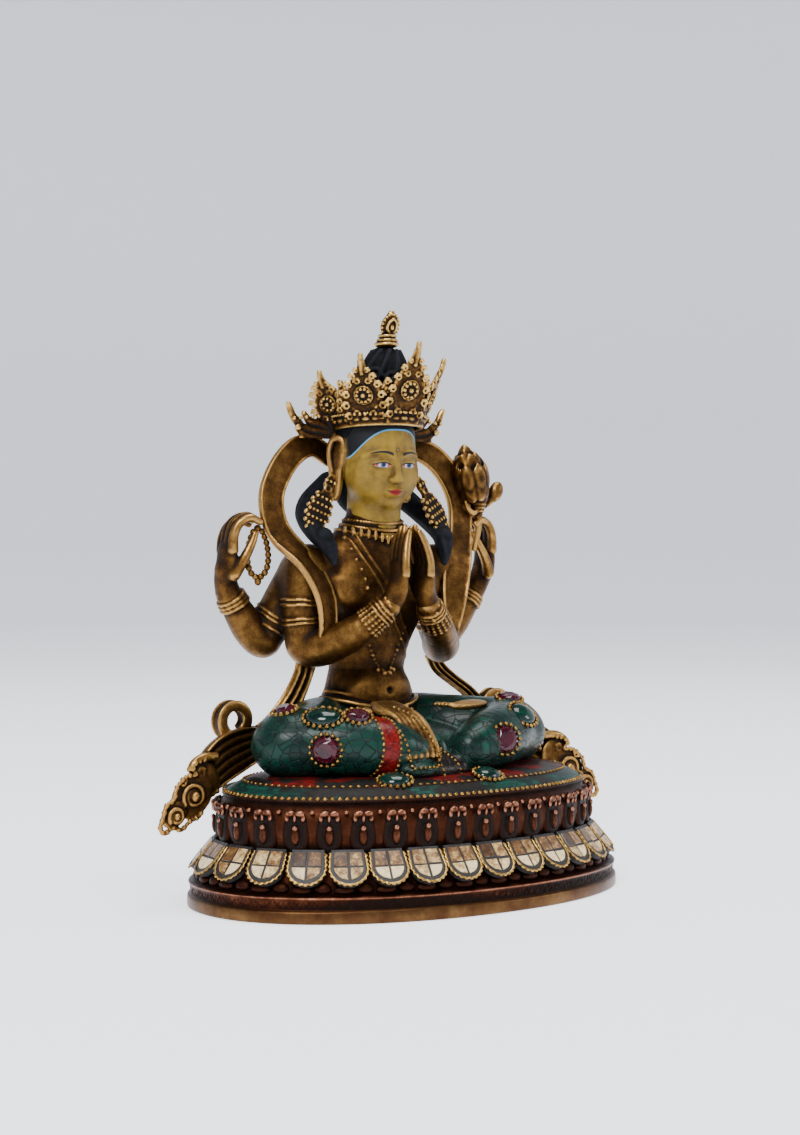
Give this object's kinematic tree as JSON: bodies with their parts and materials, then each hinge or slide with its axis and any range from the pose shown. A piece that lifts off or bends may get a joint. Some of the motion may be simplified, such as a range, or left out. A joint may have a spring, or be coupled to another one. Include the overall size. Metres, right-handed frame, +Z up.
{
  "type": "avalokiteshvara statue",
  "caption": "Seated four-armed Avalokiteshvara of cast copper alloy on a double-lotus pedestal, with crown, scarves and set stones.",
  "frame": {"origin": "middle of the pedestal's underside, on the floor", "axes": "+Z up; the figure faces -Y, and its own left side is at +X"},
  "size_m": [0.1902, 0.11, 0.21],
  "materials": {
    "copper": "antiqued reddish copper, dark in the recesses, worn bright on edges",
    "antique_bronze": "antiqued golden copper alloy; matte cold-gold paint on the face; inlay and dark hair are colour on it",
    "gilt": "worn fire-gilt look",
    "ruby": "polished faceted red stone",
    "emerald": "polished green cabochon"
  },
  "bodies": {
    "root": {"pedestal": "copper", "figure": "antique_bronze", "crown": "gilt", "topknot_jewel": "gilt", "ruby_right_outer": "ruby", "emerald_right": "emerald", "ruby_right_inner": "ruby", "ruby_right_front": "ruby", "ruby_left_outer": "ruby", "emerald_left": "emerald", "ruby_left_front": "ruby", "ruby_left_side": "ruby", "emerald_seat_right": "emerald", "emerald_seat_left": "emerald"}
  },
  "joints": []
}
